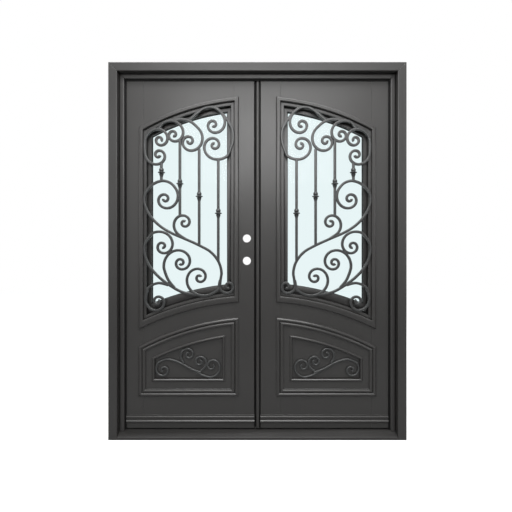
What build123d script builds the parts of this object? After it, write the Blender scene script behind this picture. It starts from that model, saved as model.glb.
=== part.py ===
from build123d import *
from math import acos, cos, dist, exp, log, radians, sin, sqrt
import os

# A pair of steel entry doors in their frame, in millimetres.
# The outside faces -Y, +Z is up, and the origin is the middle of the sill's underside, at half the frame's depth.
# Both leaves are drawn on the +X side, and the left one is mirrored.
WIDTH = 1925
HEIGHT = 2438
DEPTH = 116
FRONT = -DEPTH / 2
BACK = DEPTH / 2

# Frame section: the plain front face, the rebate behind it for the leaves, and the stop moulding in its corner
FACE = 58
REBATE = 77
REBATE_Y = -8
INNER = WIDTH / 2 - FACE
RECESS = WIDTH / 2 - REBATE
STOP_EDGE = 871
STOP_FRONT = -19
STOP_BACK = -3
STOP_ROUND = 8
ARRIS = 6
SEAL_REACH = 8
SEAL_FOOT = 1.5
SEAL_BACK = 2.2
SILL_NOSE = 19
SILL_TOP = 44

# Leaf: 5 mm clear of the frame, and wide enough of its fellow for both to swing
LEAF_FRONT = 3
LEAF_BACK = 53
LEAF_FOOT = 52
LEAF_TOP = HEIGHT - REBATE - 5
LEAF_EDGE = RECESS - 5
MEETING = 19
MEETING_CHAMFER = 4

# Window and panel outlines share their sides. Each arch is an arc struck from the middle of the pair.
TRIM_NEAR = 120.5
TRIM_FAR = 787
HEAD_ARC_Z = 675
HEAD_ARC_R = 1570
RAIL_ARC_Z = -877
WINDOW_FOOT_R = 1773
PANEL_HEAD_R = 1666
PANEL_FOOT_Z = 258
OPENING = 34
LEDGE = 54
LEDGE_FRONT = 40
SASH_FRONT = 46
SASH_BACK = 68
SASH_FIT = 37
SASH_FLANGE = 18
SASH_FLANGE_BACK = 57
SASH_SIGHT = 81
SASH_FOOT = 108
GLASS_GRIP = 9
GLASS_FRONT = 56
GLASS_BACK = 62
TRIM_OUTSIDE = [(0, 3), (2, -3), (8, -10), (14, -12)]
TRIM_INSIDE = [(24, -12), (30, -9), (34, -2), (34, 3)]

# Lower panel: a band with two beads, a flat field, and a sunk middle with a beaded edge
BAND = 56
BAND_RISE = 3
BEAD_RISE = 10
BEADS = (5, 29)
BEAD_WIDTH = 22
BEAD_STEPS = (0, 0.3)
SUNK_SIDE_NEAR = 222
SUNK_SIDE_FAR = 686
SUNK_FOOT_Z = 368
SUNK_HEAD_R = 1547
SUNK_DEPTH = 12
SUNK_BEAD = 9

# Kick moulding along the leaf's foot: height of each bead and its radius
KICK_FOOT = 83
KICK_TOP = 140
KICK_BASE = 3
KICK_BEADS = ((98, 10), (126, 7))
KICK_END_GAP = 19
SWEEP_CLEAR = 1.5
SWEEP_FRONT = 10
SWEEP_BACK = 46

# Astragal on the right leaf, between the meeting edges
ASTRAGAL_SIDE = 10
NOSE_X = 2
NOSE_R = 11
ASTRAGAL_FRONT = 14
ASTRAGAL_BACK = 50
NOSE_FOOT = 57
NOSE_TOP = 2333
ASTRAGAL_SEAL = (40, 50)
ASTRAGAL_SEAL_GAP = 1

# Cross bores for a deadbolt and a latch, in the left leaf's lock stile
BORE_X = 70
BORE_R = 27
BORE_HEIGHTS = (1303, 1154)

# Barrel hinges: a knuckle and pin on the jamb below, a bored knuckle on the leaf above
HINGE_X = RECESS - 3
HINGE_Y = 70
BARREL_R = 10
PIN_R = 5
PIN_FIT = 0.1
KNUCKLE = 60
KNUCKLE_GAP = 1
PIN_CAP = 4
HINGE_FEET = (190, 1120, 2050)
STRAP = 4
STRAP_REACH = 42

# Scroll work: flat bar bent on edge in the window opening. Its bends are short straight runs, as this list gives.
BAR = 16
BAR_FRONT = 4
BAR_BACK = 20
COIL_START = 12
BEND_ERROR = 2
LONG_SPAN = 46
# Each scroll is (coils and points in order). A coil is (eye x, eye z, outer radius, outer angle, turns, sense).
SCROLLS = (
    (("in", 643, 1952, 104, -14, 1.48, -1), ("out", 653, 1852, 90, 10, 1.29, 1)),
    (("in", 553, 1987, 104, 48, 1.45, -1), (652, 2022)),
    (("in", 449, 1943, 106, 121, 1.52, -1), (435, 2069), (471, 2084), (514, 2087), (556, 2077)),
    (("in", 285, 1917, 112, -141, 1.48, -1), (178, 1893), (162, 1945), (166, 2023), (210, 2099),
     (268, 2157), (314, 2169), (352, 2160), (395, 2130), (449, 2084)),
    (("in", 290, 2052, 92, 126, 1.29, -1),),
    (("in", 610, 1562, 98, 140, 1.42, -1), (571, 1666), (626, 1682), (697, 1653), (741, 1592),
     (745, 1543), (712, 1459), (650, 1390), (569, 1339), (480, 1300), (387, 1258), (306, 1211),
     (256, 1148), (237, 1080), (243, 1030), ("out", 382, 1044, 148, -151, 1.66, -1)),
    (("in", 482, 1405, 89, -73, 1.36, -1),),
    (("in", 626, 1251, 108, 54, 1.42, -1), (731, 1285), (746, 1240), (740, 1190), (712, 1121),
     (653, 1051), (567, 986), (492, 947), (404, 931)),
    (("in", 505, 1142, 117, -17, 1.74, -1), (588, 1029), (545, 976)),
    (("in", 191, 986, 63, 14, 1.19, 1), (246, 1027)),
    (("in", 658, 886, 85, 26, 1.55, 1), (721, 972), (689, 997), (646, 1008), (588, 994)),
)
# Pickets: x, top, foot and the height of the collar's widest ring
PICKETS = ((633, 1800, 1684, 1737), (511, 1949, 1452, 1663), (384, 1891, 1258, 1579), (258, 1830, 1150, 1468))
COLLAR = ((8, -30), (12, -9), (22, -3), (22, 3), (12, 9), (12, 30))
COLLAR_SIDES = 12

# The small scroll in the sunk panel
PANEL_BAR = 15
PANEL_BAR_FRONT = 1
PANEL_COIL_START = 14
PANEL_SCROLLS = (
    (("in", 619, 433, 60, 58, 1.12, 1), (603, 503), (555, 497), (504, 477), (434, 438), (375, 418)),
    (("in", 382, 490, 60, -113, 1.16, 1), (375, 428)),
    (("in", 301, 464, 78, -81, 1.23, 1), (365, 400), (405, 424)),
    (("in", 453, 530, 67, -56, 1.22, -1), (495, 470)),
)


def flat(points):
    """A flat face from its corners, in plan or elevation."""
    return make_face(Polyline(*points, close=True))


def upright(face, front, back):
    """A face drawn in elevation, as a solid from one depth to another."""
    return extrude(Plane.XZ.offset(-back) * face, amount=back - front)


def standing(points, foot, top):
    """A section drawn in plan, as an upright length."""
    return Pos(0, 0, foot) * extrude(flat(points), amount=top - foot)


def box(x0, x1, y0, y1, z0, z1):
    """A plain block from its limits."""
    return Pos((x0 + x1) / 2, (y0 + y1) / 2, (z0 + z1) / 2) * Box(x1 - x0, y1 - y0, z1 - z0)


def mirrored(shape):
    """The same piece on the other side of the pair."""
    return mirror(shape, about=Plane.YZ)


def arc_height(centre, radius, x):
    """The height of an arc struck from the middle of the pair."""
    return centre + sqrt(radius**2 - x**2)


def bounded(x0, x1, foot, head):
    """A face between two upright sides, a foot that is flat or an arc, and an arched head."""
    middle = (x0 + x1) / 2
    corners = [(x0, foot(x0)), (x1, foot(x1)), (x1, head(x1)), (x0, head(x0))]
    if foot(x0) == foot(x1):
        foot_line = Line(corners[0], corners[1])
    else:
        foot_line = ThreePointArc(corners[0], (middle, foot(middle)), corners[1])
    head_line = ThreePointArc(corners[2], (middle, head(middle)), corners[3])
    sides = [Line(corners[1], corners[2]), Line(corners[3], corners[0])]
    return make_face([foot_line, sides[0], head_line, sides[1]])


def window(offset, foot_offset=None):
    """The window's outline, brought in by an offset from the edge of its trim."""
    low = WINDOW_FOOT_R + (offset if foot_offset is None else foot_offset)
    high = HEAD_ARC_R - offset
    return bounded(
        TRIM_NEAR + offset,
        TRIM_FAR - offset,
        lambda x: arc_height(RAIL_ARC_Z, low, x),
        lambda x: arc_height(HEAD_ARC_Z, high, x),
    )


def panel(offset):
    """The lower panel's outline, brought in by an offset from the edge of its band."""
    high = PANEL_HEAD_R - offset
    return bounded(
        TRIM_NEAR + offset,
        TRIM_FAR - offset,
        lambda x: PANEL_FOOT_Z + offset,
        lambda x: arc_height(RAIL_ARC_Z, high, x),
    )


def sunk(offset):
    """The sunk middle of the panel, brought in by an offset."""
    high = SUNK_HEAD_R - offset
    return bounded(
        SUNK_SIDE_NEAR + offset,
        SUNK_SIDE_FAR - offset,
        lambda x: SUNK_FOOT_Z + offset,
        lambda x: arc_height(RAIL_ARC_Z, high, x),
    )


def stepped(outline, steps):
    """A solid through one outline at a row of offsets and depths."""
    return loft([Plane.XZ.offset(-y) * outline(offset) for offset, y in steps], ruled=True)


def moulded_ring(outline, outside, inside):
    """A mitred ring of moulding, from its outer slope and its inner slope."""
    return stepped(outline, outside) - stepped(outline, inside)


def bead_ring(outline, start, width, seat, rise):
    """A half-round bead along an outline, standing off the face it sits on."""
    slope = [(width / 2 * step, seat + rise * sqrt(1 - (1 - step) ** 2)) for step in BEAD_STEPS]
    outside = [(start + along, y) for along, y in slope]
    inside = [(start + width - along, y) for along, y in reversed(slope)]
    return moulded_ring(outline, outside, inside)


def jamb():
    """The right jamb, mitred to the head."""
    section = [(INNER, FRONT), (WIDTH / 2, FRONT), (WIDTH / 2, BACK), (RECESS, BACK), (RECESS, REBATE_Y),
               (INNER, REBATE_Y)]
    post = standing(section, 0, HEIGHT)
    post = fillet(post.edges().filter_by(Axis.Z).sort_by(Axis.Y)[:2], ARRIS)
    return post - above_mitre()


def above_mitre():
    """The space over the 45 degree mitre at the frame's right corner."""
    run = 2 * REBATE
    corner = (WIDTH / 2, HEIGHT)
    return upright(flat([corner, (corner[0], HEIGHT + run), (corner[0] - run, HEIGHT + run),
                         (corner[0] - run, HEIGHT - run)]), FRONT, BACK)


def below_mitre():
    """The space under the same mitre."""
    run = 2 * REBATE
    corner = (WIDTH / 2, HEIGHT)
    return upright(flat([corner, (corner[0] - run, HEIGHT - run), (corner[0] + run, HEIGHT - run),
                         (corner[0] + run, HEIGHT)]), FRONT, BACK)


def across(section, length):
    """A section drawn as (y, z), as a level length centred on the pair."""
    return Pos(-length / 2, 0, 0) * extrude(Plane.YZ * flat(section), amount=length)


def head():
    """The frame's head, mitred at both ends."""
    low = HEIGHT - FACE
    section = [(FRONT, low), (FRONT, HEIGHT), (BACK, HEIGHT), (BACK, HEIGHT - REBATE), (REBATE_Y, HEIGHT - REBATE),
               (REBATE_Y, low)]
    beam = across(section, WIDTH)
    beam = fillet(beam.edges().filter_by(Axis.X).sort_by(Axis.Y)[:2], ARRIS)
    return beam - below_mitre() - mirrored(below_mitre())


def sill():
    """The sill: a low nose, a slope to a sharp arris, and a level top that the leaves close over."""
    slope = across([(FRONT, 0), (FRONT, SILL_NOSE), (REBATE_Y, SILL_TOP), (REBATE_Y, 0)], 2 * INNER)
    level = across([(REBATE_Y, 0), (REBATE_Y, SILL_TOP), (BACK, SILL_TOP), (BACK, 0)], 2 * RECESS)
    return slope + level


def stop_section():
    """The stop's section as (across, y)."""
    return [(STOP_EDGE, STOP_FRONT), (INNER, STOP_FRONT), (INNER, REBATE_Y), (RECESS, REBATE_Y), (RECESS, STOP_BACK),
            (STOP_EDGE, STOP_BACK)]


def stop_jamb():
    """The stop moulding up the right jamb, standing on the sill, with its front edges rounded."""
    bar = standing(stop_section(), 0, HEIGHT)
    bar = fillet(bar.edges().filter_by(Axis.Z).sort_by(Axis.Y)[:2], STOP_ROUND)
    return bar - above_mitre() - sill()


def stop_head():
    """The stop moulding under the head."""
    drop = HEIGHT - WIDTH / 2
    section = [(y, z + drop) for z, y in stop_section()]
    bar = across(section, WIDTH)
    bar = fillet(bar.edges().filter_by(Axis.X).sort_by(Axis.Y)[:2], STOP_ROUND)
    return bar - below_mitre() - mirrored(below_mitre())


def frame_seal():
    """Black seals behind the stops, just clear of the closed leaves."""
    inner = STOP_EDGE - SEAL_REACH
    outer = RECESS - SEAL_FOOT
    top = inner + HEIGHT - WIDTH / 2
    side = box(inner, outer, STOP_BACK, SEAL_BACK, SILL_TOP, top)
    level = box(-outer, outer, STOP_BACK, SEAL_BACK, top, outer + HEIGHT - WIDTH / 2)
    return side + level + mirrored(side)


def hinge_post(foot):
    """The fixed half of a hinge: its strap on the jamb, its knuckle and its pin."""
    end = RECESS + STRAP_REACH
    side = HINGE_X + BARREL_R
    strap = flat([(HINGE_X, HINGE_Y), (RECESS, BACK), (end, BACK), (end, BACK + STRAP), (side, BACK + STRAP),
                  (side, HINGE_Y)])
    knuckle = Pos(HINGE_X, HINGE_Y) * Circle(BARREL_R)
    lower = Pos(0, 0, foot) * extrude(knuckle + strap, amount=KNUCKLE)
    pin_length = KNUCKLE + KNUCKLE_GAP + PIN_CAP
    pin = Pos(HINGE_X, HINGE_Y, foot + KNUCKLE + pin_length / 2) * Cylinder(PIN_R, pin_length)
    return lower + pin


def hinge_knuckle(foot):
    """The leaf's half of a hinge: its strap on the leaf's back and its bored knuckle."""
    end = LEAF_EDGE - STRAP_REACH
    side = HINGE_X - BARREL_R
    strap = flat([(end, LEAF_BACK), (LEAF_EDGE - STRAP, LEAF_BACK), (HINGE_X, HINGE_Y), (side, HINGE_Y),
                  (side, LEAF_BACK + STRAP), (end, LEAF_BACK + STRAP)])
    knuckle = Pos(HINGE_X, HINGE_Y) * Circle(BARREL_R)
    bore = Pos(HINGE_X, HINGE_Y) * Circle(PIN_R + PIN_FIT)
    return Pos(0, 0, foot + KNUCKLE + KNUCKLE_GAP) * extrude(knuckle + strap - bore, amount=KNUCKLE)


def lock_stile(bored):
    """The stile at the meeting edge, with its front edge eased."""
    near = MEETING + MEETING_CHAMFER
    section = [(near, LEAF_FRONT), (TRIM_NEAR + OPENING, LEAF_FRONT), (TRIM_NEAR + OPENING, LEAF_BACK),
               (MEETING, LEAF_BACK), (MEETING, LEAF_FRONT + MEETING_CHAMFER)]
    stile = standing(section, LEAF_FOOT, LEAF_TOP)
    if bored:
        for height in BORE_HEIGHTS:
            stile -= upright(Pos(BORE_X, height) * Circle(BORE_R), LEAF_FRONT, LEAF_BACK)
    return stile


def hinge_stile():
    """The stile at the hinge edge."""
    return box(TRIM_FAR - OPENING, LEAF_EDGE, LEAF_FRONT, LEAF_BACK, LEAF_FOOT, LEAF_TOP)


def top_rail():
    """The rail over the window, with its arched soffit."""
    near = TRIM_NEAR + OPENING
    far = TRIM_FAR - OPENING
    block = box(near, far, LEAF_FRONT, LEAF_BACK, HEIGHT / 2, LEAF_TOP)
    radius = HEAD_ARC_R - OPENING
    return block - upright(Pos(0, HEAD_ARC_Z) * Circle(radius), LEAF_FRONT, LEAF_BACK)


def middle_rail():
    """The arched rail between the window and the panel."""
    face = bounded(
        TRIM_NEAR + OPENING,
        TRIM_FAR - OPENING,
        lambda x: arc_height(RAIL_ARC_Z, PANEL_HEAD_R - OPENING, x),
        lambda x: arc_height(RAIL_ARC_Z, WINDOW_FOOT_R + OPENING, x),
    )
    return upright(face, LEAF_FRONT, LEAF_BACK)


def bottom_rail():
    """The rail under the panel."""
    return box(TRIM_NEAR + OPENING, TRIM_FAR - OPENING, LEAF_FRONT, LEAF_BACK, LEAF_FOOT, PANEL_FOOT_Z + OPENING)


def window_trim():
    """The raised moulding round the window, on the leaf's face."""
    return moulded_ring(window, TRIM_OUTSIDE, TRIM_INSIDE)


def sash_stop():
    """The flat bar inside the opening that the sash closes against."""
    return upright(window(OPENING) - window(LEDGE), LEDGE_FRONT, SASH_FRONT)


def sash():
    """The glazed frame, let in from the back, with its flange on the leaf's back face."""
    frame = upright(window(SASH_FIT), SASH_FRONT, SASH_BACK)
    frame += upright(window(SASH_FLANGE), LEAF_BACK, SASH_FLANGE_BACK)
    frame -= upright(window(SASH_SIGHT, SASH_FOOT), SASH_FRONT, SASH_BACK)
    return frame - glass()


def glass():
    """The pane, held in the sash's groove."""
    return upright(window(SASH_SIGHT - GLASS_GRIP, SASH_FOOT - GLASS_GRIP), GLASS_FRONT, GLASS_BACK)


def panel_board():
    """The lower panel, flush with the stiles, with its sunk middle."""
    return upright(panel(OPENING), LEAF_FRONT, LEAF_BACK) - upright(sunk(0), LEAF_FRONT, LEAF_FRONT + SUNK_DEPTH)


def panel_moulding():
    """The double-beaded band round the panel, on the front."""
    ring = upright(panel(0) - panel(BAND), LEAF_FRONT - BAND_RISE, LEAF_FRONT)
    for start in BEADS:
        ring += bead_ring(panel, start, BEAD_WIDTH, LEAF_FRONT - BAND_RISE, -BEAD_RISE)
    return ring


def back_moulding():
    """A plain flat band round the same panel on the back."""
    return upright(panel(0) - panel(BAND), LEAF_BACK, LEAF_BACK + BAND_RISE)


def sunk_bead():
    """The bead round the sunk middle."""
    return bead_ring(sunk, -SUNK_BEAD, 2 * SUNK_BEAD, LEAF_FRONT, -SUNK_BEAD)


def kick_moulding():
    """The two-beaded moulding along the leaf's foot."""
    section = flat([(LEAF_FRONT - KICK_BASE, KICK_FOOT), (LEAF_FRONT, KICK_FOOT), (LEAF_FRONT, KICK_TOP),
                    (LEAF_FRONT - KICK_BASE, KICK_TOP)])
    for height, radius in KICK_BEADS:
        section += Pos(LEAF_FRONT - KICK_BASE, height) * Circle(radius)
    section = section & flat([(FRONT, KICK_FOOT), (LEAF_FRONT, KICK_FOOT), (LEAF_FRONT, KICK_TOP), (FRONT, KICK_TOP)])
    start = MEETING + 1
    length = LEAF_EDGE - KICK_END_GAP - start
    return Pos(start, 0, 0) * extrude(Plane.YZ * section, amount=length)


def foot_sweep():
    """The rubber strip under the leaf, just clear of the sill."""
    return box(MEETING + 2, LEAF_EDGE - 2, SWEEP_FRONT, SWEEP_BACK, SILL_TOP + SWEEP_CLEAR, LEAF_FOOT)


def astragal():
    """The meeting bar: a web on the right leaf's edge and a half-round nose in front."""
    web = box(-ASTRAGAL_SIDE, MEETING, ASTRAGAL_FRONT, ASTRAGAL_BACK, LEAF_FOOT, LEAF_TOP)
    section = Pos(NOSE_X, LEAF_FRONT) * Circle(NOSE_R)
    section += flat([(NOSE_X - NOSE_R, LEAF_FRONT), (NOSE_X + NOSE_R, LEAF_FRONT),
                     (NOSE_X + NOSE_R, ASTRAGAL_FRONT), (NOSE_X - NOSE_R, ASTRAGAL_FRONT)])
    return web + Pos(0, 0, NOSE_FOOT) * extrude(section, amount=NOSE_TOP - NOSE_FOOT)


def astragal_seal():
    """The black lip that closes the gap to the left leaf at the back."""
    return box(ASTRAGAL_SEAL_GAP - MEETING, -ASTRAGAL_SIDE, *ASTRAGAL_SEAL, LEAF_FOOT, LEAF_TOP)


def coil(eye_x, eye_z, radius, angle, turns, sense, start):
    """Points of a coil from its inner end outwards. The radius grows by the same share on each turn."""
    sweep = radians(turns * 360)
    growth = log(radius / start) / sweep
    points = []
    wound = 0
    while wound < sweep:
        reach = radius * exp(-growth * wound)
        turn = radians(angle) - sense * wound
        points.append((eye_x + reach * cos(turn), eye_z + reach * sin(turn)))
        wound += 2 * acos(1 - BEND_ERROR / reach)
    return points[::-1]


def scroll_points(steps, start):
    """The points that a scroll's centre line passes through, from its coils and its loose points in order."""
    points = []
    for step in steps:
        if step[0] == "in":
            points += coil(*step[1:], start)
        elif step[0] == "out":
            points += reversed(coil(*step[1:], start))
        else:
            points.append(step)
    return points


def scroll_stations(points):
    """Shares of the centre line's length at its points, with one more halfway along each long span."""
    spans = [dist(a, b) for a, b in zip(points, points[1:])]
    total = sum(spans)
    stations = [0]
    run = 0
    for span in spans:
        if span > LONG_SPAN:
            stations.append((run + span / 2) / total)
        run += span
        stations.append(min(run / total, 1))
    return stations


def scroll_face(steps, width, start):
    """A scroll in elevation: its centre line, thickened by half the bar's width each way."""
    points = scroll_points(steps, start)
    line = Spline(*points)
    left = []
    right = []
    for station in scroll_stations(points):
        middle = line @ station
        along = line % station
        aside = Vector(-along.Y, along.X) * (width / 2)
        left.append(middle + aside)
        right.append(middle - aside)
    return flat(left + right[::-1])


def window_grille():
    """The scroll work and its pickets with turned collars, welded in one plane and to the opening's edge."""
    work = scroll_face(SCROLLS[0], BAR, COIL_START)
    for steps in SCROLLS[1:]:
        work += scroll_face(steps, BAR, COIL_START)
    for x, top, foot, _ in PICKETS:
        work += Pos(x, (top + foot) / 2) * Rectangle(BAR, top - foot)
    grille = upright(work & window(OPENING), BAR_FRONT, BAR_BACK)
    collar = loft([Plane.XY.offset(z) * RegularPolygon(radius, COLLAR_SIDES) for radius, z in COLLAR], ruled=True)
    for x, _, _, height in PICKETS:
        grille += Pos(x, (BAR_FRONT + BAR_BACK) / 2, height) * collar
    return grille


def panel_scroll():
    """The small scroll that lies on the floor of the sunk panel."""
    work = scroll_face(PANEL_SCROLLS[0], PANEL_BAR, PANEL_COIL_START)
    for steps in PANEL_SCROLLS[1:]:
        work += scroll_face(steps, PANEL_BAR, PANEL_COIL_START)
    return upright(work, PANEL_BAR_FRONT, LEAF_FRONT + SUNK_DEPTH)


def leaf_pieces(bored):
    """Every piece of one leaf, on the +X side."""
    knuckles = [hinge_knuckle(foot) for foot in HINGE_FEET]
    return {
        "lock_stile": lock_stile(bored),
        "hinge_stile": hinge_stile(),
        "top_rail": top_rail(),
        "middle_rail": middle_rail(),
        "bottom_rail": bottom_rail(),
        "window_trim": window_trim(),
        "sash_stop": sash_stop(),
        "sash": sash(),
        "glass": glass(),
        "window_grille": window_grille(),
        "panel": panel_board(),
        "panel_moulding": panel_moulding(),
        "back_moulding": back_moulding(),
        "panel_bead": sunk_bead(),
        "panel_scroll": panel_scroll(),
        "kick_moulding": kick_moulding(),
        "foot_sweep": foot_sweep(),
        "hinge_knuckles": Compound(children=knuckles),
    }


def frame_pieces():
    """Every piece of the frame."""
    posts = [hinge_post(foot) for foot in HINGE_FEET]
    return {
        "jamb_right": jamb(),
        "jamb_left": mirrored(jamb()),
        "head": head(),
        "sill": sill(),
        "stop_right": stop_jamb(),
        "stop_left": mirrored(stop_jamb()),
        "stop_head": stop_head(),
        "frame_seal": frame_seal(),
        "hinge_posts": Compound(children=posts + [mirrored(post) for post in posts]),
    }


os.makedirs("parts", exist_ok=True)
pieces = frame_pieces()
pieces["astragal"] = astragal()
pieces["astragal_seal"] = astragal_seal()
for name, piece in leaf_pieces(False).items():
    pieces["right_" + name] = piece
for name, piece in leaf_pieces(True).items():
    pieces["left_" + name] = mirrored(piece)
for name, piece in pieces.items():
    export_step(piece, f"parts/{name}.step")
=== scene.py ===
import bmesh
import bpy
from math import atan2, cos, dist, exp, log, pi, radians, sin, sqrt
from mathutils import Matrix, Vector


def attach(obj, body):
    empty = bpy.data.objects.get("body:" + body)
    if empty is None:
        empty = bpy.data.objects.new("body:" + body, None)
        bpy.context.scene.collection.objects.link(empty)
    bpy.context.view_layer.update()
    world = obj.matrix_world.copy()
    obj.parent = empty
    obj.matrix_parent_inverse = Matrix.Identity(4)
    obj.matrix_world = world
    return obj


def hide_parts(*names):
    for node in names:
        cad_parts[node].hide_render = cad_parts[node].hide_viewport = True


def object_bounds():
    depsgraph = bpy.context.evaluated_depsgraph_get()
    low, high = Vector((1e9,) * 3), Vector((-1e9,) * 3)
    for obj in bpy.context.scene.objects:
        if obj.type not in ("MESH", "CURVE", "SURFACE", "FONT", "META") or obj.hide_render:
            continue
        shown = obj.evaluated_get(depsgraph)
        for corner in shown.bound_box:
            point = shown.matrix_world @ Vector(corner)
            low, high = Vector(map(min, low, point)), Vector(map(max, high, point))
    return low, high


bpy.context.scene.view_settings.view_transform = "Standard"
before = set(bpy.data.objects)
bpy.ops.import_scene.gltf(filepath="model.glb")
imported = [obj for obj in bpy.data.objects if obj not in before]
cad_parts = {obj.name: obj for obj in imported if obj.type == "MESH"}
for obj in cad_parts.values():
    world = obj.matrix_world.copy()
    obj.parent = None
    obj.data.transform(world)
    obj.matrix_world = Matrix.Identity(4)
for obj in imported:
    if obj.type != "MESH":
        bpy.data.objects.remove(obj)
cad_low, cad_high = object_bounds()
MM = 0.001

# Frame: steel tube, mitred and welded at the head's corners and ground flat, with stop mouldings in its
# rebate. It is sprayed with charcoal powder and baked as one piece. The tube keeps a small radius on its
# edges.
TUBE_EDGE = 2.2 * MM
FRAME_TUBES = ("jamb_left", "jamb_right", "head", "stop_left", "stop_right", "stop_head")
# Points closer than the first are one point. The rest are angles in degrees: faces this near to flat are
# one face, edges over the second are rounded, and edges over the third stay crisp.
SAME_POINT = 0.01 * MM
STILL_FLAT = 0.4
CORNER = 32
CREASE = 42
# Powder coat is a baked polyester film: one even, dark colour with a satin sheen. Its orange peel is about
# 3 mm from bump to bump, too fine to show singly from the camera, and softens the highlights. The film's
# thickness drifts over some 400 mm, and its sheen with it.
CHARCOAL = "#272625"
PEEL = 3 * MM
FILM_DRIFT = 400 * MM
FILM_SPECULAR = 0.47
# A noise seldom leaves this range, so it is stretched over the whole of what the noise drives.
NOISE_SPREAD = {"From Min": 0.3, "From Max": 0.7}


def linear(code):
    """A sRGB hex colour as linear RGBA."""
    shares = [int(code[i : i + 2], 16) / 255 for i in (1, 3, 5)]
    return [s / 12.92 if s <= 0.04045 else ((s + 0.055) / 1.055) ** 2.4 for s in shares] + [1]


def put(tree, kind, inputs=None, **settings):
    """Adds a node with its settings. A socket given as an input is linked, and any other value is set."""
    made = tree.nodes.new(kind)
    for name, value in settings.items():
        setattr(made, name, value)
    for name, value in (inputs or {}).items():
        if isinstance(value, bpy.types.NodeSocket):
            tree.links.new(value, made.inputs[name])
        else:
            made.inputs[name].default_value = value
    return made


def blank_material(name):
    """A material with an empty tree, and that tree."""
    material = bpy.data.materials.new(name)
    material.use_nodes = True
    material.node_tree.nodes.clear()
    return material, material.node_tree


def powder_coat(name, colour, grain, depth, smooth, rough):
    """A baked coat over steel: one dark colour, a fine relief, and a sheen that drifts slightly."""
    material, tree = blank_material(name)
    place = put(tree, "ShaderNodeTexCoord").outputs["Object"]
    relief = put(tree, "ShaderNodeTexNoise", {"Vector": place, "Scale": 1 / grain, "Detail": 2})
    drift = put(tree, "ShaderNodeTexNoise", {"Vector": place, "Scale": 1 / FILM_DRIFT, "Detail": 3})
    sheen = put(tree, "ShaderNodeMapRange",
                {"Value": drift.outputs["Fac"], **NOISE_SPREAD, "To Min": smooth, "To Max": rough})
    bump = put(tree, "ShaderNodeBump",
               {"Height": relief.outputs["Fac"], "Strength": 0.5, "Distance": depth})
    film = put(tree, "ShaderNodeBsdfPrincipled",
               {"Base Color": linear(colour), "Roughness": sheen.outputs["Result"],
                "Specular IOR Level": FILM_SPECULAR, "Normal": bump.outputs["Normal"]})
    put(tree, "ShaderNodeOutputMaterial", {"Surface": film.outputs["BSDF"]})
    return material


def shown(name, mesh, body, material, slot, *nodes):
    """Puts a finished mesh in the scene on its body, in the place of the CAD nodes that it stands for."""
    piece = bpy.data.objects.new(name, mesh)
    bpy.context.scene.collection.objects.link(piece)
    if material:
        piece.data.materials.clear()
        piece.data.materials.append(material)
    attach(piece, body)
    if nodes:
        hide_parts(*nodes)
    return piece


def smoothed(mesh, sharp):
    """Smooth shading that breaks at edges sharper than an angle in degrees."""
    for face in mesh.polygons:
        face.use_smooth = True
    mesh.set_sharp_from_angle(angle=radians(sharp))


def eased(node, body, edge, material, slot):
    """A CAD node's own shape with its sharp edges rounded, as tube and plate come from the mill."""
    mesh = bpy.data.meshes.new(node + "_steel")
    form = bmesh.new()
    form.from_mesh(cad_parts[node].data)
    bmesh.ops.remove_doubles(form, verts=form.verts, dist=SAME_POINT)
    bmesh.ops.dissolve_limit(form, angle_limit=radians(STILL_FLAT), verts=form.verts, edges=form.edges)
    corners = [e for e in form.edges if e.is_manifold and e.calc_face_angle() > radians(CORNER)]
    bmesh.ops.bevel(form, geom=corners, offset=edge, segments=2, profile=0.5, affect="EDGES",
                    clamp_overlap=True)
    form.to_mesh(mesh)
    form.free()
    smoothed(mesh, CREASE)
    piece = shown(node + "_dressed", mesh, body, material, slot, node)
    modifier = piece.modifiers.new("weighted", "WEIGHTED_NORMAL")
    modifier.keep_sharp = True


coat = powder_coat("powder coat on steel tube", CHARCOAL, grain=PEEL, depth=0.04 * MM, smooth=0.3,
                   rough=0.38)
for node in FRAME_TUBES:
    eased(node, "frame", TUBE_EDGE, coat, "powder_coat")

# Sill: a folded steel threshold between the jambs' feet, bedded on the floor and coated like the frame.
# Its coat is a little duller than the frame's, and a little darker as painted shade at the door's foot.
SILL_SHADE_GREY = "#232221"
sill_coat = powder_coat("powder coat on the sill", SILL_SHADE_GREY, grain=PEEL, depth=0.05 * MM,
                        smooth=0.36, rough=0.46)
eased("sill", "frame", TUBE_EDGE, sill_coat, "sill")

# Weather seals: black rubber, extruded in strips and pushed into grooves in the stops, the foot of each
# leaf and the meeting bar. A lip beside the meeting bar reaches for the left leaf. A black strip that
# fills the groove on the bar's other side is painted shade for the shadow in that groove.
SEALS = {"frame_seal": "frame", "left_foot_sweep": "left_leaf", "right_foot_sweep": "right_leaf",
         "astragal_seal": "right_leaf"}
SEAL_EDGE = 0.6 * MM
# The limits of each strip across, in depth and up, in mm
MEETING_LIP = ((-18.9, -9.6), (20, 24), (52, 2356))
# A black strip in the groove beside the meeting bar, as painted shade for that groove's shadow
GROOVE_SHADE_STRIP = ((12.6, 19.2), (10, 14.2), (57, 2333))
# Extruded rubber is near black and matt, with almost no highlight. Its bloom dulls it in patches of about
# 30 mm.
RUBBER_BLACK = "#121212"
BLOOM = 30 * MM
rubber, tree = blank_material("black seal rubber")
place = put(tree, "ShaderNodeTexCoord").outputs["Object"]
bloom = put(tree, "ShaderNodeTexNoise", {"Vector": place, "Scale": 1 / BLOOM, "Detail": 2})
dull = put(tree, "ShaderNodeMapRange", {"Value": bloom.outputs["Fac"], "To Min": 0.55, "To Max": 0.75})
skin = put(tree, "ShaderNodeBsdfPrincipled",
           {"Base Color": linear(RUBBER_BLACK), "Roughness": dull.outputs["Result"],
            "Specular IOR Level": 0.1})
put(tree, "ShaderNodeOutputMaterial", {"Surface": skin.outputs["BSDF"]})
for node, body in SEALS.items():
    eased(node, body, SEAL_EDGE, rubber, "rubber")


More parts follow.
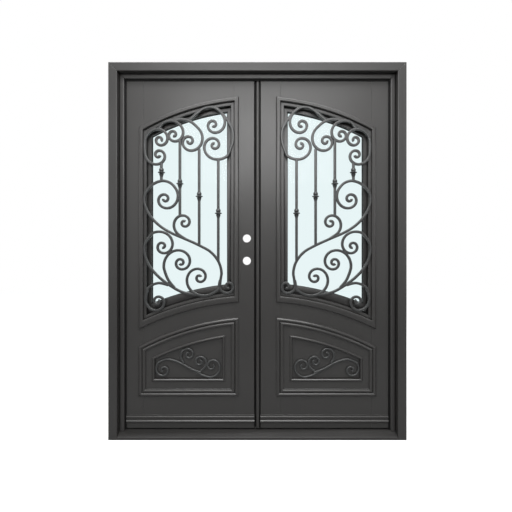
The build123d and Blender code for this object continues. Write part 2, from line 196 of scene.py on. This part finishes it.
def strip(x, y, z):
    """A plain rubber strip between two limits on each axis, in mm."""
    mesh = bpy.data.meshes.new("strip")
    form = bmesh.new()
    bmesh.ops.create_cube(form, size=1)
    for corner in form.verts:
        corner.co = [(low + high) / 2 * MM + c * (high - low) * MM
                     for (low, high), c in zip((x, y, z), corner.co)]
    form.to_mesh(mesh)
    form.free()
    return mesh


shown("meeting_lip", strip(*MEETING_LIP), "right_leaf", rubber, "rubber")
# The groove's black strip is painted shade
shown("meeting_groove_seal", strip(*GROOVE_SHADE_STRIP), "right_leaf", rubber, "rubber")

# Hinges: three to a leaf. Each is two barrels turned from 20 mm steel bar, with a pin between them, on
# straps that are welded to the jamb and to the leaf's back. They are coated with the rest.
SIDES = {"left": -1, "right": 1}
BARREL_EDGE = 0.8 * MM
# The same film lies thinner on turned steel. The lathe's fine rings under it dull the sheen a little.
barrel_coat = powder_coat("powder coat on turned steel", CHARCOAL, grain=PEEL, depth=0.03 * MM, smooth=0.34,
                          rough=0.42)
eased("hinge_posts", "frame", BARREL_EDGE, barrel_coat, "hinge_steel")
for side in SIDES:
    eased(f"{side}_hinge_knuckles", f"{side}_leaf", BARREL_EDGE, barrel_coat, "hinge_steel")

# Leaves: stiles and rails of rectangular steel tube, welded and ground flush, with the lower panel's plate
# let in between them and a plain band round it at the back. The right leaf carries the meeting bar, a
# steel web along its edge with a half-round nose in front.
LEAF_PARTS = ("lock_stile", "hinge_stile", "top_rail", "middle_rail", "bottom_rail", "panel",
              "back_moulding")
LEAF_EDGE = 1.1 * MM
for side in SIDES:
    for part in LEAF_PARTS:
        eased(f"{side}_{part}", f"{side}_leaf", LEAF_EDGE, coat, "powder_coat")
eased("astragal", "right_leaf", TUBE_EDGE, coat, "powder_coat")

# Window and panel mouldings: rolled steel sections, mitred at the corners and welded to the leaf. The
# window has a trim with a broad crown, a flat stop inside it and a bead round the glass. The lower panel
# and the leaf's foot have half-round beads, some with rolled flats on their shoulders.
ARC_STEPS = 48
WINDOW_SIDES = (120.5 * MM, 787 * MM)
TRIM_SIDES = (117.5 * MM, 785 * MM)
HEAD_ARC_Z = 675 * MM
HEAD_ARC_R = 1570 * MM
RAIL_ARC_Z = -877 * MM
WINDOW_FOOT_R = 1773 * MM
PANEL_HEAD_R = 1666 * MM
PANEL_FOOT_Z = 258 * MM
SUNK_SIDES = (222 * MM, 686 * MM)
SUNK_FOOT_Z = 368 * MM
SUNK_HEAD_R = 1547 * MM
# The trim's foot runs out on the rail over this inset, by this share, and the bead's foot is this much
# broader.
TRIM_FOOT = 30 * MM
TRIM_FOOT_SLOPE = 0.6
BEAD_START = 58.5 * MM
BEAD_FOOT_BREADTH = 2.22
KICK_ENDS = (20, 861.5)
# Angles in degrees over a plain half round, and over one with flat shoulders
ROUND_TURNS = range(0, 181, 9)
FLAT_TURNS = (0, 9, 18, 27, 67, 76, 85, 95, 104, 113, 153, 162, 171, 180)
# Edges over these angles in degrees stay crisp on the trim and on the beads.
TRIM_CREASE = 30
BEAD_CREASE = 20


def arched(sides, foot, head, inset):
    """Points round an outline with upright sides, brought in by an inset, its foot arc first."""
    near, far = sides[0] + inset, sides[1] - inset
    across = [near + (far - near) * i / ARC_STEPS for i in range(ARC_STEPS + 1)]
    return [(x, foot(x)) for x in across] + [(x, head(x)) for x in reversed(across)]


def arc(centre, radius):
    """The height of an arc struck from the middle of the pair."""
    return lambda x: centre + sqrt(radius**2 - x**2)


def window(inset, foot_inset=None):
    """The window's outline, brought in from the edge of its moulding."""
    low = WINDOW_FOOT_R + (inset if foot_inset is None else foot_inset)
    return arched(WINDOW_SIDES, arc(RAIL_ARC_Z, low), arc(HEAD_ARC_Z, HEAD_ARC_R - inset), inset)


def trimmed(inset):
    """The window trim's outline. Its foot has a longer slope, which runs out softly on the rail."""
    foot = arc(RAIL_ARC_Z, WINDOW_FOOT_R + inset - max(0, TRIM_FOOT - inset) * TRIM_FOOT_SLOPE)
    return arched(TRIM_SIDES, foot, arc(HEAD_ARC_Z, HEAD_ARC_R - inset), inset)


def beaded(inset):
    """The glazing bead's outline, which is broader at the foot."""
    return window(inset, BEAD_START + (inset - BEAD_START) * BEAD_FOOT_BREADTH)


def panel(inset):
    """The lower panel's outline."""
    return arched(WINDOW_SIDES, lambda x: PANEL_FOOT_Z + inset, arc(RAIL_ARC_Z, PANEL_HEAD_R - inset), inset)


def sunk(inset):
    """The outline of the panel's sunk middle."""
    return arched(SUNK_SIDES, lambda x: SUNK_FOOT_Z + inset, arc(RAIL_ARC_Z, SUNK_HEAD_R - inset), inset)


def rolled_bead(start, width, seat, rise, turns=FLAT_TURNS):
    """Points over a bead, as (inset, y) in mm, from one foot over its crown to the other."""
    middle = start + width / 2
    return [(middle - width / 2 * cos(radians(t)), seat - rise * sin(radians(t))) for t in turns]


def mitred(outline, section, side, crease):
    """A mitred ring of moulding: a section, as (inset, y) in mm, carried round an outline."""
    loops = [[(SIDES[side] * x, y * MM, z) for x, z in outline(inset * MM)] for inset, y in section]
    count = len(loops[0])
    form = bmesh.new()
    rows = [[form.verts.new(point) for point in loop] for loop in loops]
    for here, there in zip(rows, rows[1:] + rows[:1]):
        for i in range(count):
            j = (i + 1) % count
            form.faces.new((here[i], here[j], there[j], there[i]))
    bmesh.ops.recalc_face_normals(form, faces=form.faces)
    mesh = bpy.data.meshes.new("moulding")
    form.to_mesh(mesh)
    form.free()
    smoothed(mesh, crease)
    return mesh


def run(section, side, near, far, crease):
    """A straight length of moulding across a leaf: a section, as (z, y) in mm, with its ends closed."""
    form = bmesh.new()
    ends = [[form.verts.new((SIDES[side] * x * MM, y * MM, z * MM)) for z, y in section]
            for x in (near, far)]
    for i in range(len(section)):
        j = (i + 1) % len(section)
        form.faces.new((ends[0][i], ends[0][j], ends[1][j], ends[1][i]))
    for end in ends:
        form.faces.new(end)
    bmesh.ops.recalc_face_normals(form, faces=form.faces)
    mesh = bpy.data.meshes.new("run")
    form.to_mesh(mesh)
    form.free()
    smoothed(mesh, crease)
    return mesh


# Sections in mm, as (inset, y), or (z, y) for the kick moulding's straight run
WINDOW_SECTION = [(5, 3.4), (5, 1), (5.4, -3), (6.2, -6.4), (7.6, -9), (9.6, -10.8), (12, -11.8),
                  (16, -12.5), (22, -12.8), (27, -12.6), (30, -12), (31.6, -10.8), (32.4, -9),
                  (32.6, -6), (32.8, -3), (33.4, -2), (34, -1.4), (34, 3.4)]
STOP_SECTION = [(35.6, 46.2), (35.6, 7), (36.6, 6), (52.4, 6), (53.5, 6.4), (54, 7.5), (54, 46.2)]
BEAD_SECTION = [(58.5, 46.2), (58.5, 38), (59.5, 37), (79, 37), (80.6, 38.6), (80.6, 46.2)]
PANEL_SECTION = [(0, 3.4), (0, 0.6), (0.6, 0), *rolled_bead(5, 22, 0, 9.6),
                 *rolled_bead(29, 22, 0, 9.6, ROUND_TURNS), (55.4, 0), (56, 0.6), (56, 3.4)]
SUNK_SECTION = [(-9, 3.4), *rolled_bead(-9, 18, 3, 9), (9, 3.4)]
KICK_SECTION = [(83, 3.2), (83, 0.6), (83.6, 0), *rolled_bead(88, 20, 0, 10),
                *rolled_bead(119, 14, 0, 7, ROUND_TURNS), (139.4, 0), (140, 0.6), (140, 3.2)]
RINGS = (
    ("window_trim", trimmed, WINDOW_SECTION, TRIM_CREASE),
    ("sash_stop", window, STOP_SECTION, TRIM_CREASE),
    ("panel_moulding", panel, PANEL_SECTION, BEAD_CREASE),
    ("panel_bead", sunk, SUNK_SECTION, BEAD_CREASE),
)
for side in SIDES:
    for name, outline, section, crease in RINGS:
        ring = mitred(outline, section, side, crease)
        shown(f"{side}_{name}_rolled", ring, f"{side}_leaf", coat, "powder_coat", f"{side}_{name}")
    kick = run(KICK_SECTION, side, *KICK_ENDS, BEAD_CREASE)
    shown(f"{side}_kick_moulding_rolled", kick, f"{side}_leaf", coat, "powder_coat", f"{side}_kick_moulding")
    bead = mitred(beaded, BEAD_SECTION, side, TRIM_CREASE)
    shown(f"{side}_glazing_bead", bead, f"{side}_leaf", coat, "powder_coat")

# Glazing: a steel sash let in from the back and screwed through its flange, with a clear sealed pane in
# it. Black rubber gaskets are pressed in round both faces of the glass.
PANE_EDGE = 0.5 * MM
PANE_MIDDLE = 59
SIGHT = 81
SIGHT_FOOT = 108
GASKET = [(-2, 56.2), (-2, 53.4), (-0.6, 52.6), (2.4, 53.6), (3, 54.8), (3, 56.2)]
# Float glass is clear and perfectly smooth, with a faint aqua cast. Its index is set below the 1.5 of real
# glass, at which the front lamp's image marks the panes as a pale patch.
AQUA = "#e8f5f6"
glass, tree = blank_material("clear float glass")
pane = put(tree, "ShaderNodeBsdfPrincipled",
           {"Base Color": linear(AQUA), "Roughness": 0, "IOR": 1.12, "Transmission Weight": 1})
put(tree, "ShaderNodeOutputMaterial", {"Surface": pane.outputs["BSDF"]})


def sighted(inset):
    """The outline of the glass in sight, whose foot stands further in than its sides."""
    return window(inset, inset + (SIGHT_FOOT - SIGHT) * MM)


for side in SIDES:
    eased(f"{side}_sash", f"{side}_leaf", LEAF_EDGE, coat, "powder_coat")
    eased(f"{side}_glass", f"{side}_leaf", PANE_EDGE, glass, "glass")
    for face in ("front", "back"):
        section = [(SIGHT + inset, y if face == "front" else 2 * PANE_MIDDLE - y) for inset, y in GASKET]
        ring = mitred(sighted, section, side, TRIM_CREASE)
        shown(f"{side}_gasket_{face}", ring, f"{side}_leaf", rubber, "rubber")

# Sash screws: steel button heads, driven through the sash's flange into the leaf's tube every 220 mm or
# so. They are coated like the hinges, and are seen only from inside.
SCREW_SPACING = 220 * MM
SCREW_INSET = 27 * MM
FLANGE_BACK = 57 * MM
SCREW_SIDES = 16
SCREW_PROFILE = [(0, 0.9), (1.9, 0.9), (2.2, 2.3), (3.1, 2.5), (4.4, 1.9), (5.3, 0.8), (5.5, 0)]
TURNED_CREASE = 40


def turned(name, profile, sides, point):
    """A turned shape. A function places each (radius, along) point of its profile at an angle."""
    form = bmesh.new()
    rings = []
    for radius, along in profile:
        count = sides if radius > 0 else 1
        rings.append([form.verts.new(point(radius, 2 * pi * i / sides, along)) for i in range(count)])
    for here, there in zip(rings, rings[1:]):
        for i in range(sides):
            j = (i + 1) % sides
            corners = [here[i % len(here)], here[j % len(here)],
                       there[j % len(there)], there[i % len(there)]]
            form.faces.new(list(dict.fromkeys(corners)))
    bmesh.ops.recalc_face_normals(form, faces=form.faces)
    mesh = bpy.data.meshes.new(name)
    form.to_mesh(mesh)
    form.free()
    smoothed(mesh, TURNED_CREASE)
    return mesh


def tree_with(name, *sockets):
    """An empty Geometry Nodes tree with its named inputs, each as (name, kind, default)."""
    tree = bpy.data.node_groups.new(name, "GeometryNodeTree")
    tree.interface.new_socket("Geometry", in_out="OUTPUT", socket_type="NodeSocketGeometry")
    tree.interface.new_socket("Geometry", in_out="INPUT", socket_type="NodeSocketGeometry")
    for label, kind, default in sockets:
        socket = tree.interface.new_socket(label, in_out="INPUT", socket_type="NodeSocket" + kind)
        if default is not None:
            socket.default_value = default
    return tree, put(tree, "NodeGroupInput")


def ended(tree, geometry, material):
    """The end of every tree: instances made real, the material set, and the group's output."""
    real = put(tree, "GeometryNodeRealizeInstances", {"Geometry": geometry})
    painted = put(tree, "GeometryNodeSetMaterial",
                  {"Geometry": real.outputs["Geometry"], "Material": material})
    put(tree, "NodeGroupOutput", {"Geometry": painted.outputs["Geometry"]})


def grown(lines, tree, values):
    """The plain mesh that a tree makes from lines of points."""
    mesh = bpy.data.meshes.new("lines")
    points = [p for line in lines for p in line]
    edges = []
    start = 0
    for line in lines:
        edges += [(start + i, start + i + 1) for i in range(len(line) - 1)]
        start += len(line)
    mesh.from_pydata(points, edges, [])
    carrier = bpy.data.objects.new("lines", mesh)
    bpy.context.scene.collection.objects.link(carrier)
    modifier = carrier.modifiers.new("grow", "NODES")
    modifier.node_group = tree
    for item in tree.interface.items_tree:
        if item.in_out == "INPUT" and item.name in values:
            modifier[item.identifier] = values[item.name]
    depsgraph = bpy.context.evaluated_depsgraph_get()
    made = bpy.data.meshes.new_from_object(carrier.evaluated_get(depsgraph))
    bpy.data.objects.remove(carrier)
    return made


screw_row, inputs = tree_with("screws along a flange", ("Spacing", "Float", SCREW_SPACING),
                              ("Screw", "Object", None), ("Material", "Material", None))
line = put(screw_row, "GeometryNodeMeshToCurve", {"Mesh": inputs.outputs["Geometry"]})
spaced = put(screw_row, "GeometryNodeResampleCurve",
             {"Curve": line.outputs["Curve"], "Length": inputs.outputs["Spacing"]}, mode="LENGTH")
head = put(screw_row, "GeometryNodeObjectInfo", {"Object": inputs.outputs["Screw"]})
row = put(screw_row, "GeometryNodeInstanceOnPoints",
          {"Points": spaced.outputs["Curve"], "Instance": head.outputs["Geometry"]})
ended(screw_row, row.outputs["Instances"], inputs.outputs["Material"])
screw_shape = bpy.data.objects.new("screw_shape", turned(
    "screw", SCREW_PROFILE, SCREW_SIDES,
    lambda r, turn, along: (r * MM * cos(turn), along * MM, r * MM * sin(turn))))
for side, sign in SIDES.items():
    ring = [(sign * x, FLANGE_BACK, z) for x, z in window(SCREW_INSET)]
    screws = grown([ring + ring[:1]], screw_row, {"Screw": screw_shape, "Material": barrel_coat})
    shown(f"{side}_sash_screws", screws, f"{side}_leaf", None, "hinge_steel")
bpy.data.objects.remove(screw_shape)

# Window grilles: 18 mm square bar with rounded edges, heated and wound into scrolls by hand, drawn down at
# the eyes and welded where the scrolls meet. The hammer leaves shallow flats along it. Pickets stand
# between, each with a turned collar.
BAR = 18 * MM
EDGE_ROUND = 4.4 * MM
BAR_Y = 3.5 * MM
RING_SPACING = 4 * MM
TIP_SHARE = 0.84
TIP_LENGTH = 60 * MM
# A hammer's face leaves flats about as wide as the bar, half a millimetre deep, and shallower ones on a
# picket.
HAMMER_SIZE = 18 * MM
HAMMER_DEPTH = 0.5 * MM
PICKET_HAMMER_DEPTH = 0.4 * MM
BAR_CREASE = 50
COLLAR_SIDES = 24
# A coil's radius starts at this many mm times this share, and it is wound this much of a turn further at
# its eye.
COIL_START = 12
EYE_START = 0.84
EYE_TURN = 0.2
# A coil has a point at every step of this many degrees. A gap over the second, in mm, is filled with a
# smooth curve that has a point at every third.
COIL_STEP = 7
WIDEST_GAP = 16
CURVE_STEP = 6
# A scroll is its coils and loose points in order, in mm. A coil is (eye x, eye z, outer radius, outer
# angle, turns, sense), after a word that tells whether the bar starts in its eye or runs out in it.
SCROLLS = (
    (("in", 643, 1952, 104, -14, 1.48, -1), ("out", 653, 1852, 90, 10, 1.29, 1)),
    (("in", 553, 1987, 104, 48, 1.45, -1), (652, 2022)),
    (("in", 449, 1943, 106, 121, 1.52, -1), (435, 2069), (471, 2084), (514, 2087), (556, 2077)),
    (("in", 285, 1917, 112, -141, 1.48, -1), (178, 1893), (162, 1945), (166, 2023), (210, 2099),
     (268, 2157), (314, 2169), (352, 2160), (395, 2130), (449, 2084)),
    (("in", 290, 2052, 92, 126, 1.29, -1),),
    (("in", 610, 1562, 98, 140, 1.42, -1), (571, 1666), (626, 1682), (697, 1653), (741, 1592),
     (745, 1543), (712, 1459), (650, 1390), (569, 1339), (480, 1300), (387, 1258), (306, 1211),
     (256, 1148), (237, 1080), (243, 1030), ("out", 382, 1044, 148, -151, 1.66, -1)),
    (("in", 482, 1405, 89, -73, 1.36, -1), (474, 1298)),
    (("in", 626, 1251, 108, 54, 1.42, -1), (731, 1285), (746, 1240), (740, 1190), (712, 1121),
     (653, 1051), (567, 986), (492, 947), (404, 931)),
    (("in", 505, 1142, 117, -17, 1.74, -1), (588, 1029), (545, 976)),
    (("in", 191, 986, 63, 14, 1.19, 1), (246, 1027)),
    (("in", 658, 886, 85, 26, 1.55, 1), (721, 972), (689, 997), (646, 1008), (588, 994)),
)
# Pickets: x, top, foot and the height of the collar's widest ring, in mm
PICKETS = ((633, 1800, 1684, 1737), (511, 1949, 1452, 1663), (384, 1891, 1258, 1579),
           (258, 1830, 1150, 1468))
COLLAR = [(0, -33), (8.4, -33), (9.6, -30), (11, -24), (13, -17), (14.8, -12), (15.4, -9), (13, -7.4),
          (12, -6.2), (15, -5.2), (20, -4), (22.8, -2), (23.2, 0), (22.8, 2), (20, 4), (15, 5.2), (12, 6.2),
          (12, 7.4), (14, 9), (15.4, 12), (15.9, 16), (15.2, 21), (13.4, 25.4), (11, 29), (9, 31.4),
          (8.2, 33), (0, 33)]


def coil(eye_x, eye_z, radius, angle, turns, sense, start):
    """Points of a coil from its inner end outwards. The radius grows by the same share on each turn."""
    turns += EYE_TURN
    start *= EYE_START
    count = round(turns * 360 / COIL_STEP)
    growth = log(radius / start)
    points = []
    for i in range(count + 1):
        left = 1 - i / count
        reach = radius * exp(-growth * left)
        turn = radians(angle - sense * turns * 360 * left)
        points.append((eye_x + reach * cos(turn), eye_z + reach * sin(turn)))
    return points


def faired(a, b, c, d):
    """Points between b and c on the smooth curve through a, b, c and d."""
    gaps = [max(sqrt(dist(p, q)), 1e-6) for p, q in ((a, b), (b, c), (c, d))]
    count = max(2, round(dist(b, c) / CURVE_STEP))
    made = []
    for i in range(1, count):
        t = i / count
        point = []
        for p, q, r, s in zip(a, b, c, d):
            leave = (q - p) / gaps[0] - (r - p) / (gaps[0] + gaps[1]) + (r - q) / gaps[1]
            meet = (r - q) / gaps[1] - (s - q) / (gaps[1] + gaps[2]) + (s - r) / gaps[2]
            leave *= gaps[1]
            meet *= gaps[1]
            point.append((2 * t**3 - 3 * t**2 + 1) * q + (t**3 - 2 * t**2 + t) * leave
                         + (3 * t**2 - 2 * t**3) * r + (t**3 - t**2) * meet)
        made.append(tuple(point))
    return made


def scroll(steps, start):
    """The centre line of a scroll in elevation."""
    points = []
    for step in steps:
        if step[0] == "in":
            points += coil(*step[1:], start)
        elif step[0] == "out":
            points += reversed(coil(*step[1:], start))
        else:
            points.append(step)
    line = [points[0]]
    for i in range(len(points) - 1):
        if dist(points[i], points[i + 1]) > WIDEST_GAP:
            before = points[max(i - 1, 0)]
            after = points[min(i + 2, len(points) - 1)]
            line += faired(before, points[i], points[i + 1], after)
        line.append(points[i + 1])
    return line


def upright(points, sign, y):
    """Points of an elevation in mm, stood up at a depth on one side of the pair."""
    return [(sign * x * MM, y, z * MM) for x, z in points]


forged, inputs = tree_with(
    "forged bar", ("Width", "Float", BAR), ("Edge radius", "Float", EDGE_ROUND),
    ("Ring spacing", "Float", RING_SPACING), ("Tip share", "Float", TIP_SHARE),
    ("Tip length", "Float", TIP_LENGTH), ("Hammer size", "Float", HAMMER_SIZE),
    ("Hammer depth", "Float", HAMMER_DEPTH), ("Material", "Material", None))
line = put(forged, "GeometryNodeMeshToCurve", {"Mesh": inputs.outputs["Geometry"]})
spaced = put(forged, "GeometryNodeResampleCurve",
             {"Curve": line.outputs["Curve"], "Length": inputs.outputs["Ring spacing"]}, mode="LENGTH")
along = put(forged, "GeometryNodeSplineParameter").outputs["Length"]
total = put(forged, "GeometryNodeSplineLength").outputs["Length"]
rest = put(forged, "ShaderNodeMath", {0: total, 1: along}, operation="SUBTRACT")
nearest = put(forged, "ShaderNodeMath", {0: along, 1: rest.outputs[0]}, operation="MINIMUM")
share = put(forged, "ShaderNodeMapRange",
            {"Value": nearest.outputs[0], "From Max": inputs.outputs["Tip length"],
             "To Min": inputs.outputs["Tip share"], "To Max": 1.0}, interpolation_type="SMOOTHSTEP")
thick = put(forged, "GeometryNodeSetCurveRadius",
            {"Curve": spaced.outputs["Curve"], "Radius": share.outputs["Result"]})
square = put(forged, "GeometryNodeCurvePrimitiveQuadrilateral",
             {"Width": inputs.outputs["Width"], "Height": inputs.outputs["Width"]})
ring = put(forged, "GeometryNodeFilletCurve",
           {"Curve": square.outputs["Curve"], "Count": 3, "Radius": inputs.outputs["Edge radius"]},
           mode="POLY")
bar = put(forged, "GeometryNodeCurveToMesh",
          {"Curve": thick.outputs["Curve"], "Profile Curve": ring.outputs["Curve"], "Fill Caps": True})
grain = put(forged, "ShaderNodeMath", {0: 1.0, 1: inputs.outputs["Hammer size"]}, operation="DIVIDE")
blows = put(forged, "ShaderNodeTexNoise", {"Scale": grain.outputs[0], "Detail": 1})
dents = put(forged, "ShaderNodeMapRange",
            {"Value": blows.outputs["Fac"], **NOISE_SPREAD, "To Min": -1.0, "To Max": 0.0})
depth = put(forged, "ShaderNodeMath", {0: dents.outputs["Result"], 1: inputs.outputs["Hammer depth"]},
            operation="MULTIPLY")
outward = put(forged, "GeometryNodeInputNormal").outputs["Normal"]
move = put(forged, "ShaderNodeVectorMath", {0: outward, "Scale": depth.outputs[0]}, operation="SCALE")
struck = put(forged, "GeometryNodeSetPosition",
             {"Geometry": bar.outputs["Mesh"], "Offset": move.outputs["Vector"]})
ended(forged, struck.outputs["Geometry"], inputs.outputs["Material"])

collar_row, inputs = tree_with("collars on pickets", ("Collar", "Object", None),
                               ("Material", "Material", None))
shape = put(collar_row, "GeometryNodeObjectInfo", {"Object": inputs.outputs["Collar"]})
row = put(collar_row, "GeometryNodeInstanceOnPoints",
          {"Points": inputs.outputs["Geometry"], "Instance": shape.outputs["Geometry"]})
ended(collar_row, row.outputs["Instances"], inputs.outputs["Material"])

# The coat on forged bar lies over fire scale and file marks, so it glints unevenly. Those marks are 1 to 2
# mm apart, and are drawn 7 mm apart so that they show.
IRON_GREY = "#2b2c2c"
SCALE_MARKS = 7 * MM
iron = powder_coat("powder coat on forged iron", IRON_GREY, grain=SCALE_MARKS, depth=0.1 * MM, smooth=0.28,
                   rough=0.36)
collar_shape = bpy.data.objects.new("collar_shape", turned(
    "collar", COLLAR, COLLAR_SIDES,
    lambda r, turn, along: (r * MM * cos(turn), r * MM * sin(turn), along * MM)))


def joined(meshes):
    """Several meshes as one."""
    form = bmesh.new()
    for mesh in meshes:
        form.from_mesh(mesh)
    made = bpy.data.meshes.new("joined")
    form.to_mesh(made)
    form.free()
    return made


for side, sign in SIDES.items():
    lines = [upright(scroll(steps, COIL_START), sign, BAR_Y) for steps in SCROLLS]
    bars = grown(lines, forged, {"Material": iron})
    lines = [upright(((x, foot), (x, top)), sign, BAR_Y) for x, top, foot, _ in PICKETS]
    pickets = grown(lines, forged, {"Material": iron, "Tip share": 1.0, "Hammer depth": PICKET_HAMMER_DEPTH})
    places = [upright(((x, height),), sign, BAR_Y) for x, _, _, height in PICKETS]
    collars = grown(places, collar_row, {"Collar": collar_shape, "Material": iron})
    for mesh in (bars, pickets):
        smoothed(mesh, BAR_CREASE)
    work = joined((bars, pickets, collars))
    shown(f"{side}_scrolls_and_pickets", work, f"{side}_leaf", iron, "scroll_work", f"{side}_window_grille")
bpy.data.objects.remove(collar_shape)

# Panel scrolls: four scrolls of lighter bar in each lower panel, heated and wound in the same way, with
# rounder edges. They are welded to the floor of the sunk middle and coated with the leaf.
PANEL_BAR = 15.4 * MM
PANEL_EDGE_ROUND = 6.4 * MM
PANEL_BAR_Y = 8.3 * MM
PANEL_COIL_START = 14
PANEL_SCROLLS = (
    (("in", 619, 433, 60, 58, 1.12, 1), (603, 503), (555, 497), (504, 477), (434, 438), (375, 418)),
    (("in", 382, 487, 53, -113, 1.16, 1), (375, 428)),
    (("in", 301, 459, 74, -81, 1.23, 1), (365, 400), (405, 424)),
    (("in", 455, 535, 60, -56, 1.22, -1), (495, 470)),
)
for side, sign in SIDES.items():
    lines = [upright(scroll(steps, PANEL_COIL_START), sign, PANEL_BAR_Y) for steps in PANEL_SCROLLS]
    bars = grown(lines, forged, {"Material": iron, "Width": PANEL_BAR, "Edge radius": PANEL_EDGE_ROUND})
    smoothed(bars, BAR_CREASE)
    shown(f"{side}_panel_scroll_bars", bars, f"{side}_leaf", iron, "scroll_work", f"{side}_panel_scroll")

# Studio: a floor painted pale and matt, 18 m square, under a white surround, lit by soft lamps above, in
# front, behind and at each side. None of it is part of the door.
FLOOR_REACH = 9
WHITE = "#ffffff"
# Matt paint shows no highlight and keeps the door's shadow. To the camera and through the glass it also
# glows, more from the first distance to the second, in metres, so that it pales away from the door.
FLOOR_GREY = "#c0c0c0"
GLOW_FADE = {"From Min": 1.2, "From Max": 3.5, "To Min": 0.75, "To Max": 0.86}
floor_mesh = bpy.data.meshes.new("floor")
corners = [(-FLOOR_REACH, -FLOOR_REACH, 0), (FLOOR_REACH, -FLOOR_REACH, 0), (FLOOR_REACH, FLOOR_REACH, 0),
           (-FLOOR_REACH, FLOOR_REACH, 0)]
floor_mesh.from_pydata(corners, [], [(0, 1, 2, 3)])
floor = bpy.data.objects.new("floor", floor_mesh)
bpy.context.scene.collection.objects.link(floor)
paint, tree = blank_material("pale floor")
seen = put(tree, "ShaderNodeLightPath")
matt = put(tree, "ShaderNodeBsdfDiffuse", {"Color": linear(FLOOR_GREY)})
through = put(tree, "ShaderNodeMath",
              {0: seen.outputs["Is Camera Ray"], 1: seen.outputs["Is Transmission Ray"]},
              operation="MAXIMUM")
place = put(tree, "ShaderNodeTexCoord").outputs["Object"]
reach = put(tree, "ShaderNodeVectorMath", {0: place}, operation="LENGTH")
fade = put(tree, "ShaderNodeMapRange", {"Value": reach.outputs["Value"], **GLOW_FADE})
lift = put(tree, "ShaderNodeMath", {0: through.outputs[0], 1: fade.outputs["Result"]}, operation="MULTIPLY")
glow = put(tree, "ShaderNodeEmission", {"Color": linear(WHITE), "Strength": lift.outputs[0]})
both = put(tree, "ShaderNodeAddShader", {0: matt.outputs["BSDF"], 1: glow.outputs["Emission"]})
put(tree, "ShaderNodeOutputMaterial", {"Surface": both.outputs["Shader"]})
floor_mesh.materials.append(paint)

# The surround is white to the camera, in reflections and through the glass, and dim as a light on the
# door.
SKY = "#f4f6f8"
SKY_STRENGTH = 0.25
world = bpy.data.worlds.new("studio")
bpy.context.scene.world = world
world.use_nodes = True
tree = world.node_tree
tree.nodes.clear()
seen = put(tree, "ShaderNodeLightPath")
first = put(tree, "ShaderNodeMath", {0: seen.outputs["Is Camera Ray"], 1: seen.outputs["Is Glossy Ray"]},
            operation="MAXIMUM")
shown_rays = put(tree, "ShaderNodeMath", {0: first.outputs[0], 1: seen.outputs["Is Transmission Ray"]},
                 operation="MAXIMUM")
white = put(tree, "ShaderNodeBackground", {"Color": linear(WHITE), "Strength": 1})
dim = put(tree, "ShaderNodeBackground", {"Color": linear(SKY), "Strength": SKY_STRENGTH})
mixed = put(tree, "ShaderNodeMixShader",
            {0: shown_rays.outputs[0], 1: dim.outputs["Background"], 2: white.outputs["Background"]})
put(tree, "ShaderNodeOutputWorld", {"Surface": mixed.outputs["Shader"]})

# Each lamp: name, place, the point that it faces, width and height in metres, and watts
LAMPS = (
    ("overhead", (0, -1.9, 4.8), (0, 0, 1.6), 4, 0.9, 205),
    ("front", (0, -2.9, 2.8), (0, 0, 1.9), 2.2, 1.2, 54),
    ("fill left", (-3, -2.2, 2.2), (0, 0, 1.5), 0.6, 2.2, 30),
    ("fill right", (3, -2.2, 2.2), (0, 0, 1.5), 0.6, 2.2, 30),
    ("fill back", (0, 3.5, 3), (0, 0, 1.2), 3, 2, 60),
)
for name, place, aim, width, height, watts in LAMPS:
    lamp = bpy.data.lights.new(name, "AREA")
    lamp.shape = "RECTANGLE"
    lamp.size = width
    lamp.size_y = height
    lamp.energy = watts
    softbox = bpy.data.objects.new(name, lamp)
    bpy.context.scene.collection.objects.link(softbox)
    softbox.location = place
    away = [a - b for a, b in zip(place, aim)]
    flat = sqrt(away[0] ** 2 + away[1] ** 2)
    softbox.rotation_euler = (atan2(flat, away[2]), 0, atan2(away[0], -away[1]))
    softbox.visible_camera = False
    softbox.visible_transmission = False

# Camera: level with the middle of the door and 2.5 m in front of it, square on, as the photograph was
# taken. Its picture is moved by fractions of the photograph's 512 pixels, so that the door stands in the
# same place.
CAMERA_GAP = 2.5
SENSOR = 36
LENS = 27.3
PHOTO_PIXELS = 512
SHIFT_PIXELS = (-1.4, -4.95)
camera_data = bpy.data.cameras.new("camera")
camera_data.sensor_width = SENSOR
camera_data.lens = LENS
camera_data.shift_x = SHIFT_PIXELS[0] / PHOTO_PIXELS
camera_data.shift_y = SHIFT_PIXELS[1] / PHOTO_PIXELS
camera = bpy.data.objects.new("camera", camera_data)
bpy.context.scene.collection.objects.link(camera)
camera.location = (0, cad_low.y - CAMERA_GAP, (cad_low.z + cad_high.z) / 2)
camera.rotation_euler = (pi / 2, 0, 0)
bpy.context.scene.camera = camera
